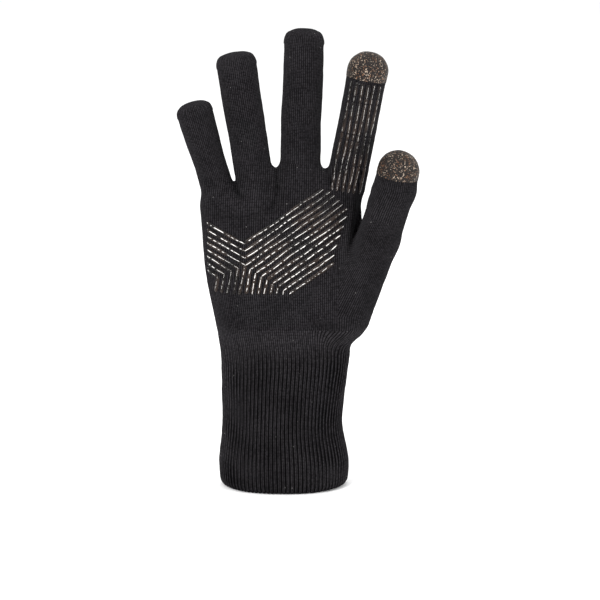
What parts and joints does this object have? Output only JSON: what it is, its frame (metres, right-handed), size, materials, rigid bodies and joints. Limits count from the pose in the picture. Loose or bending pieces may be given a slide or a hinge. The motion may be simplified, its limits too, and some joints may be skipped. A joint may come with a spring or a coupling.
{
  "type": "touchscreen glove",
  "caption": "Knitted winter glove for the right hand with a long ribbed cuff, conductive thumb and index tips, and silicone grip bars on the palm.",
  "frame": {"origin": "centre of the cuff's opening, in the plane of the hem", "axes": "+Z from the hem to the fingertips, +X to the thumb side, +Y to the back of the hand, so the palm faces -Y"},
  "size_m": [0.1456, 0.0604, 0.2817],
  "materials": {
    "knit": "plain knit",
    "rib_knit": "rib knit",
    "liner": "brushed",
    "conductive_knit": "metal-flecked knit",
    "grip_silicone": "glossy",
    "seam_yarn": "linked seam"
  },
  "bodies": {
    "cuff": {"ribbed_cuff": "rib_knit", "cuff_liner": "liner", "hem_welt": "rib_knit", "wrist_knit": "rib_knit"},
    "palm": {"palm_knit": "knit", "palm_liner": "liner", "thumb_gusset_knit": "knit", "palm_grip_bars": "grip_silicone", "index_root_knit": "knit", "middle_root_knit": "knit", "ring_root_knit": "knit", "little_root_knit": "knit"},
    "index_base": {"index_base_knit": "knit", "index_base_liner": "liner", "index_knuckle_knit": "knit", "index_base_grip_bars": "grip_silicone"},
    "index_middle": {"index_middle_knit": "knit", "index_middle_liner": "liner", "index_end_joint_knit": "knit", "index_middle_grip_bars": "grip_silicone"},
    "index_tip": {"index_tip_knit": "knit", "index_tip_liner": "liner", "index_tip_grip_bars": "grip_silicone", "index_touch_tip": "conductive_knit"},
    "middle_base": {"middle_base_knit": "knit", "middle_base_liner": "liner", "middle_knuckle_knit": "knit"},
    "middle_middle": {"middle_middle_knit": "knit", "middle_middle_liner": "liner", "middle_end_joint_knit": "knit"},
    "middle_tip": {"middle_tip_knit": "knit", "middle_tip_liner": "liner", "middle_closing_seam": "seam_yarn"},
    "ring_base": {"ring_base_knit": "knit", "ring_base_liner": "liner", "ring_knuckle_knit": "knit"},
    "ring_middle": {"ring_middle_knit": "knit", "ring_middle_liner": "liner", "ring_end_joint_knit": "knit"},
    "ring_tip": {"ring_tip_knit": "knit", "ring_tip_liner": "liner", "ring_closing_seam": "seam_yarn"},
    "little_base": {"little_base_knit": "knit", "little_base_liner": "liner", "little_knuckle_knit": "knit"},
    "little_middle": {"little_middle_knit": "knit", "little_middle_liner": "liner", "little_end_joint_knit": "knit"},
    "little_tip": {"little_tip_knit": "knit", "little_tip_liner": "liner", "little_closing_seam": "seam_yarn"},
    "thumb_base": {"thumb_base_knit": "knit", "thumb_base_liner": "liner", "thumb_end_joint_knit": "knit"},
    "thumb_tip": {"thumb_tip_knit": "knit", "thumb_tip_liner": "liner", "thumb_touch_tip": "conductive_knit"}
  },
  "joints": [
    {"name": "wrist", "type": "hinge", "parent": "cuff", "child": "palm", "pos_m": [0.0005, 0, 0.088], "axis": [1, 0, 0], "range_deg": [-40, 50], "stiffness_Nm_per_rad": 0.05, "deforming": ["wrist_knit", "cuff_liner", "palm_liner"]},
    {"name": "index_root", "type": "hinge", "parent": "palm", "child": "index_base", "pos_m": [0.042, 0, 0.2072], "axis": [1, 0, 0], "range_deg": [-10, 60], "stiffness_Nm_per_rad": 0.01, "deforming": ["index_root_knit", "palm_liner", "index_base_liner", "palm_grip_bars", "index_base_grip_bars"]},
    {"name": "index_knuckle", "type": "hinge", "parent": "index_base", "child": "index_middle", "pos_m": [0.04583, 0, 0.22785], "axis": [0.9833, 0, -0.1822], "range_deg": [0, 75], "stiffness_Nm_per_rad": 0.006, "deforming": ["index_knuckle_knit", "index_base_liner", "index_middle_liner", "index_base_grip_bars", "index_middle_grip_bars"]},
    {"name": "index_end_joint", "type": "hinge", "parent": "index_middle", "child": "index_tip", "pos_m": [0.04911, 0, 0.24555], "axis": [0.9833, 0, -0.1822], "range_deg": [0, 37.5], "deforming": ["index_end_joint_knit", "index_middle_liner", "index_tip_liner", "index_middle_grip_bars", "index_tip_grip_bars"]},
    {"name": "middle_root", "type": "hinge", "parent": "palm", "child": "middle_base", "pos_m": [0.0106, 0, 0.2084], "axis": [1, 0, 0], "range_deg": [-10, 60], "stiffness_Nm_per_rad": 0.01, "deforming": ["middle_root_knit", "palm_liner", "middle_base_liner"]},
    {"name": "middle_knuckle", "type": "hinge", "parent": "middle_base", "child": "middle_middle", "pos_m": [0.01141, 0, 0.23289], "axis": [0.9995, 0, -0.0332], "range_deg": [0, 75], "stiffness_Nm_per_rad": 0.006, "deforming": ["middle_knuckle_knit", "middle_base_liner", "middle_middle_liner"]},
    {"name": "middle_end_joint", "type": "hinge", "parent": "middle_middle", "child": "middle_tip", "pos_m": [0.01219, 0, 0.25637], "axis": [0.9995, 0, -0.0332], "range_deg": [0, 37.5], "deforming": ["middle_end_joint_knit", "middle_middle_liner", "middle_tip_liner"]},
    {"name": "ring_root", "type": "hinge", "parent": "palm", "child": "ring_base", "pos_m": [-0.02, 0, 0.2084], "axis": [1, 0, 0], "range_deg": [-10, 60], "stiffness_Nm_per_rad": 0.01, "deforming": ["ring_root_knit", "palm_liner", "ring_base_liner"]},
    {"name": "ring_knuckle", "type": "hinge", "parent": "ring_base", "child": "ring_middle", "pos_m": [-0.02329, 0, 0.22965], "axis": [0.9882, 0, 0.153], "range_deg": [0, 75], "stiffness_Nm_per_rad": 0.006, "deforming": ["ring_knuckle_knit", "ring_base_liner", "ring_middle_liner"]},
    {"name": "ring_end_joint", "type": "hinge", "parent": "ring_middle", "child": "ring_tip", "pos_m": [-0.02597, 0, 0.24694], "axis": [0.9882, 0, 0.153], "range_deg": [0, 37.5], "deforming": ["ring_end_joint_knit", "ring_middle_liner", "ring_tip_liner"]},
    {"name": "little_root", "type": "hinge", "parent": "palm", "child": "little_base", "pos_m": [-0.0432, 0, 0.1965], "axis": [1, 0, 0], "range_deg": [-10, 50], "stiffness_Nm_per_rad": 0.01, "deforming": ["little_root_knit", "palm_liner", "little_base_liner"]},
    {"name": "little_knuckle", "type": "hinge", "parent": "little_base", "child": "little_middle", "pos_m": [-0.04769, 0, 0.21186], "axis": [0.9598, 0, 0.2807], "range_deg": [0, 60], "stiffness_Nm_per_rad": 0.006, "deforming": ["little_knuckle_knit", "little_base_liner", "little_middle_liner"]},
    {"name": "little_end_joint", "type": "hinge", "parent": "little_middle", "child": "little_tip", "pos_m": [-0.05134, 0, 0.22433], "axis": [0.9598, 0, 0.2807], "range_deg": [0, 30], "deforming": ["little_end_joint_knit", "little_middle_liner", "little_tip_liner"]},
    {"name": "thumb_root", "type": "hinge", "parent": "palm", "child": "thumb_base", "pos_m": [0.034, -0.008, 0.11], "axis": [0, 0, 1], "range_deg": [-25, 12], "stiffness_Nm_per_rad": 0.015, "deforming": ["thumb_gusset_knit", "palm_liner", "thumb_base_liner"]},
    {"name": "thumb_end_joint", "type": "hinge", "parent": "thumb_base", "child": "thumb_tip", "pos_m": [0.067, -0.017, 0.186], "axis": [-0.651, 0.7398, 0.1701], "range_deg": [-55, 10], "stiffness_Nm_per_rad": 0.006, "deforming": ["thumb_end_joint_knit", "thumb_base_liner", "thumb_tip_liner"]}
  ],
  "couplings": [
    {"joint": "index_end_joint", "follows": "index_knuckle", "ratio": 0.5},
    {"joint": "middle_end_joint", "follows": "middle_knuckle", "ratio": 0.5},
    {"joint": "ring_end_joint", "follows": "ring_knuckle", "ratio": 0.5},
    {"joint": "little_end_joint", "follows": "little_knuckle", "ratio": 0.5}
  ]
}
